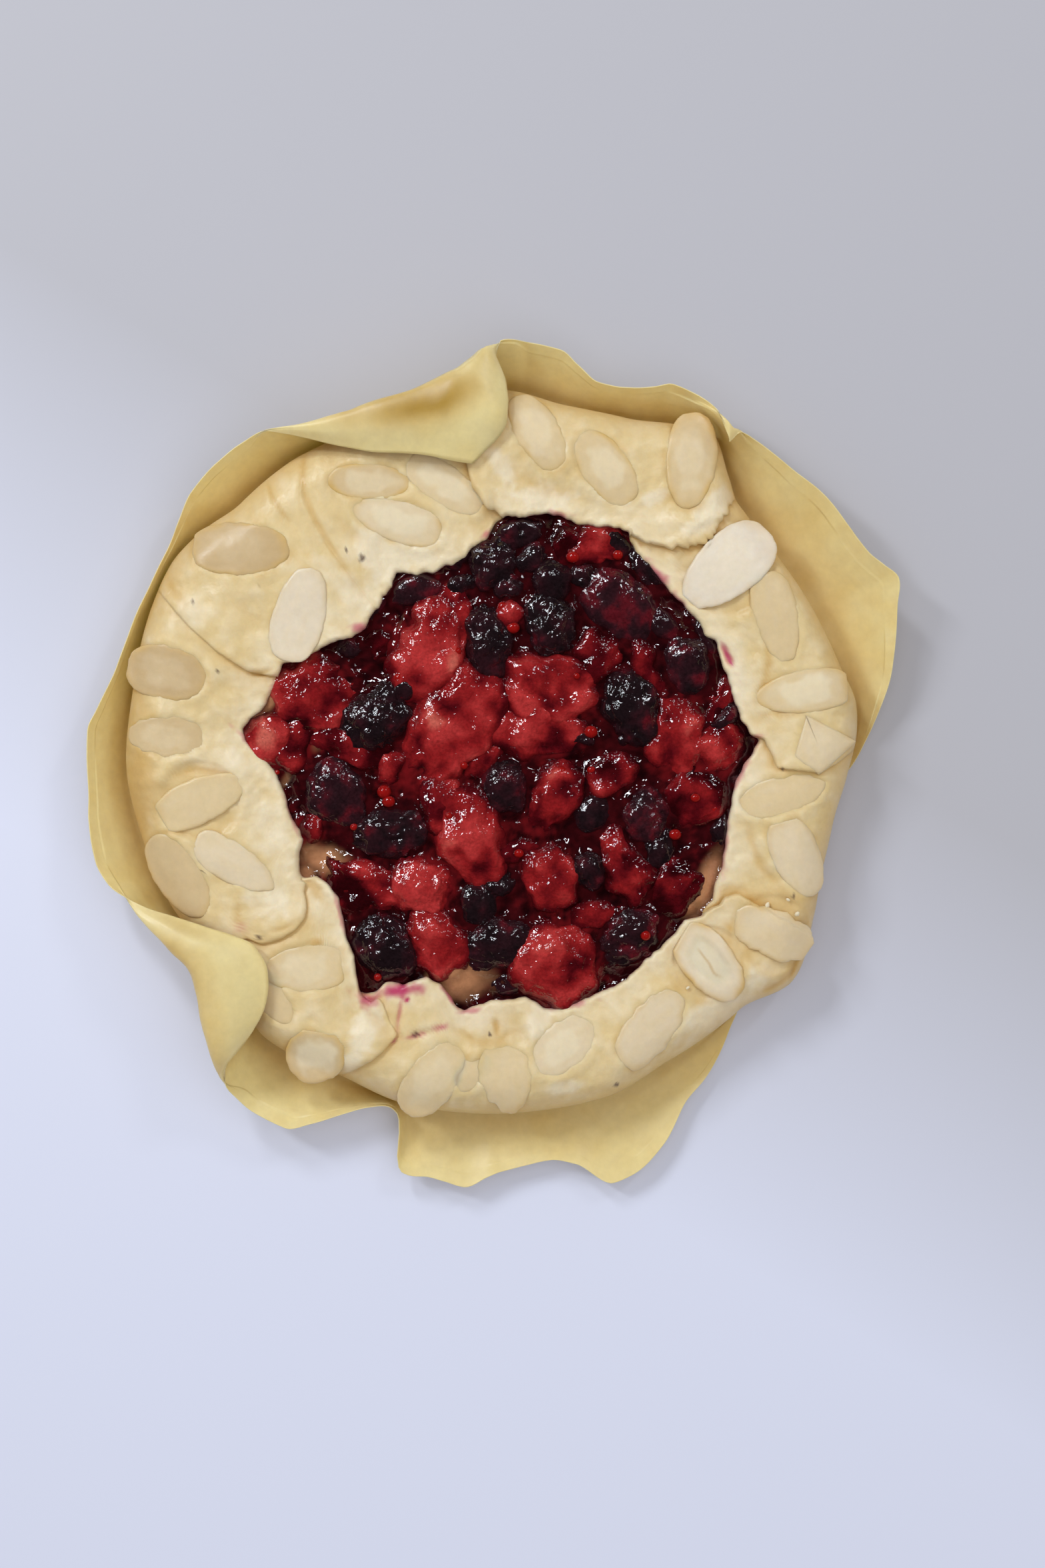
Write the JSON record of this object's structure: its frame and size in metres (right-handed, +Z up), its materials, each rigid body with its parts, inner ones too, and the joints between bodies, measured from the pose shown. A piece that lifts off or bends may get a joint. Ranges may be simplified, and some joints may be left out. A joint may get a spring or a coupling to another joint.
{
  "type": "fruit galette",
  "caption": "Round free-form pie: pale dough folded up in overlapping flaps round a glossy filling of strawberries and dark berries, flaked almonds on the rim, on curled baking paper.",
  "frame": {"origin": "centre of the flat face under the paper, on which the galette rests", "axes": "+Z up through the filling; +X to the picture's right and +Y to its top"},
  "size_m": [0.2211, 0.2285, 0.0298],
  "materials": {
    "dough": "pale unbaked dough with a thin egg glaze, softly uneven",
    "almond": "smooth blanched almond, satin",
    "jam": "dark red jelly, wet and glossy",
    "strawberry": "soft cooked strawberry, wet and glossy",
    "dark_berry": "nearly black bumpy berry, wet and glossy",
    "paper": "pale yellow waxed baking paper, slightly see-through"
  },
  "bodies": {
    "root": {"crust": "dough", "filling": "jam", "baking_paper": "paper", "almond_01": "almond", "almond_02": "almond", "almond_03": "almond", "almond_04": "almond", "almond_05": "almond", "almond_06": "almond", "almond_07": "almond", "almond_08": "almond", "almond_09": "almond", "almond_10": "almond", "almond_11": "almond", "almond_12": "almond", "almond_13": "almond", "almond_14": "almond", "almond_15": "almond", "almond_16": "almond", "almond_17": "almond", "almond_18": "almond", "almond_19": "almond", "almond_20": "almond", "almond_21": "almond", "almond_22": "almond", "almond_23": "almond", "almond_24": "almond", "almond_25": "almond", "almond_26": "almond", "almond_27": "almond", "almond_28": "almond", "almond_29": "almond", "strawberry_01": "strawberry", "strawberry_02": "strawberry", "strawberry_03": "strawberry", "strawberry_04": "strawberry", "strawberry_05": "strawberry", "strawberry_06": "strawberry", "strawberry_07": "strawberry", "strawberry_08": "strawberry", "strawberry_09": "strawberry", "strawberry_10": "strawberry", "strawberry_11": "strawberry", "strawberry_12": "strawberry", "strawberry_13": "strawberry", "strawberry_14": "strawberry", "dark_berry_01": "dark_berry", "dark_berry_02": "dark_berry", "dark_berry_03": "dark_berry", "dark_berry_04": "dark_berry", "dark_berry_05": "dark_berry", "dark_berry_06": "dark_berry", "dark_berry_07": "dark_berry", "dark_berry_08": "dark_berry", "dark_berry_09": "dark_berry", "dark_berry_10": "dark_berry", "dark_berry_11": "dark_berry", "dark_berry_12": "dark_berry", "dark_berry_13": "dark_berry", "dark_berry_14": "dark_berry"}
  },
  "joints": []
}
